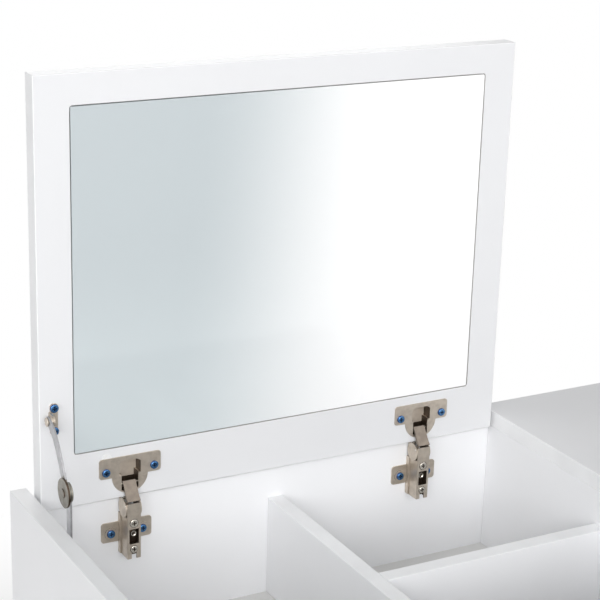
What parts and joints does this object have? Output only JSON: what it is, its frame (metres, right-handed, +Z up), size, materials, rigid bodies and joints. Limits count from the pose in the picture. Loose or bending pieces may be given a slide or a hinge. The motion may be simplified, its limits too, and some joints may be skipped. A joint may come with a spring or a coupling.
{
  "type": "flip top vanity table",
  "caption": "Dressing table with a divided bay under a hinged mirror lid, held open by a folding stay, beside a drawer pedestal.",
  "frame": {"origin": "on the floor under the middle of the table, centred on the overall box, drawer knobs counted", "axes": "+X to the right and -Y to the front as a sitter sees the table, +Z up"},
  "size_m": [1, 0.424, 1.1453],
  "materials": {
    "white_board": "white melamine laminate on particle board, satin",
    "white_hardboard": "white lacquered hardboard",
    "mirror": "silvered float glass",
    "nickel_plate": "warm nickel plating on stamped steel",
    "pin_steel": "bright steel",
    "blue_zinc": "blue passivated zinc",
    "stay_zinc": "zinc plated steel",
    "runner_steel": "galvanised steel",
    "knob_nickel": "satin nickel",
    "cast_zinc": "die cast zinc",
    "white_plastic": "moulded",
    "clear_pad": "clear soft pad",
    "beech": "fluted beech"
  },
  "bodies": {
    "cabinet": {"left_side_panel": "white_board", "centre_wall": "white_board", "right_side_panel": "white_board", "fixed_top": "white_board", "bay_back_panel": "white_board", "front_apron": "white_board", "bay_floor": "white_board", "long_divider": "white_board", "cross_divider": "white_board", "pedestal_back": "white_hardboard", "pedestal_bottom": "white_board", "plinth_rail": "white_board", "rear_stretcher": "white_board", "floor_glides": "white_plastic", "cam_locks": "cast_zinc", "dowels": "beech", "lid_bumpers": "clear_pad", "left_hinge_arm": "nickel_plate", "right_hinge_arm": "nickel_plate", "left_mounting_plate": "nickel_plate", "right_mounting_plate": "nickel_plate", "arm_pins": "pin_steel", "hinge_adjusting_screws": "pin_steel", "mounting_plate_screws": "blue_zinc", "stay_side_bracket": "stay_zinc", "stay_side_screws": "blue_zinc", "cabinet_runners": "runner_steel"},
    "lid": {"lid_board": "white_board", "mirror_glass": "mirror", "left_hinge_cup": "nickel_plate", "right_hinge_cup": "nickel_plate", "cup_screws": "blue_zinc", "cup_pins": "pin_steel", "stay_lid_bracket": "stay_zinc", "stay_lid_screws": "blue_zinc", "hole_cap": "white_plastic"},
    "outer_links": {"left_outer_link": "nickel_plate", "right_outer_link": "nickel_plate"},
    "inner_links": {"left_inner_link": "pin_steel", "right_inner_link": "pin_steel"},
    "stay_upper": {"stay_upper_arm": "stay_zinc"},
    "stay_lower": {"stay_lower_arm": "stay_zinc", "stay_knuckle": "nickel_plate"},
    "top_drawer": {"top_drawer_front": "white_board", "top_drawer_box": "white_board", "top_drawer_bottom": "white_hardboard", "top_drawer_knob": "knob_nickel", "top_drawer_runners": "runner_steel"},
    "middle_drawer": {"middle_drawer_front": "white_board", "middle_drawer_box": "white_board", "middle_drawer_bottom": "white_hardboard", "middle_drawer_knob": "knob_nickel", "middle_drawer_runners": "runner_steel"},
    "bottom_drawer": {"bottom_drawer_front": "white_board", "bottom_drawer_box": "white_board", "bottom_drawer_bottom": "white_hardboard", "bottom_drawer_knob": "knob_nickel", "bottom_drawer_runners": "runner_steel"}
  },
  "joints": [
    {"name": "outer_link_fold", "type": "hinge", "parent": "cabinet", "child": "outer_links", "pos_m": [-0.234, 0.17971, 0.73808], "axis": [1, 0, 0], "range_deg": [-44.9, 0]},
    {"name": "lid_fold", "type": "hinge", "parent": "outer_links", "child": "lid", "pos_m": [-0.234, 0.1892, 0.7573], "axis": [1, 0, 0], "range_deg": [0, 134.88]},
    {"name": "inner_link_fold", "type": "hinge", "parent": "cabinet", "child": "inner_links", "pos_m": [-0.234, 0.19168, 0.741], "axis": [1, 0, 0], "range_deg": [-56.05, 0]},
    {"name": "stay_upper_fold", "type": "hinge", "parent": "lid", "child": "stay_upper", "pos_m": [-0.4743, 0.1767, 0.8363], "axis": [1, 0, 0], "range_deg": [-114.88, 0]},
    {"name": "stay_lower_fold", "type": "hinge", "parent": "cabinet", "child": "stay_lower", "pos_m": [-0.4721, 0.1342, 0.7113], "axis": [1, 0, 0], "range_deg": [0, 97.17]},
    {"name": "top_drawer_slide", "type": "slide", "parent": "cabinet", "child": "top_drawer", "axis": [0, -1, 0], "range_m": [0, 0.26]},
    {"name": "middle_drawer_slide", "type": "slide", "parent": "cabinet", "child": "middle_drawer", "axis": [0, -1, 0], "range_m": [0, 0.26]},
    {"name": "bottom_drawer_slide", "type": "slide", "parent": "cabinet", "child": "bottom_drawer", "axis": [0, -1, 0], "range_m": [0, 0.26]}
  ],
  "couplings": [
    {"joint": "outer_link_fold", "follows": "lid_fold", "ratio": -0.33276},
    {"joint": "inner_link_fold", "follows": "lid_fold", "ratio": -0.41545},
    {"joint": "stay_upper_fold", "follows": "lid_fold", "ratio": -0.85161},
    {"joint": "stay_lower_fold", "follows": "lid_fold", "ratio": 0.72026}
  ]
}
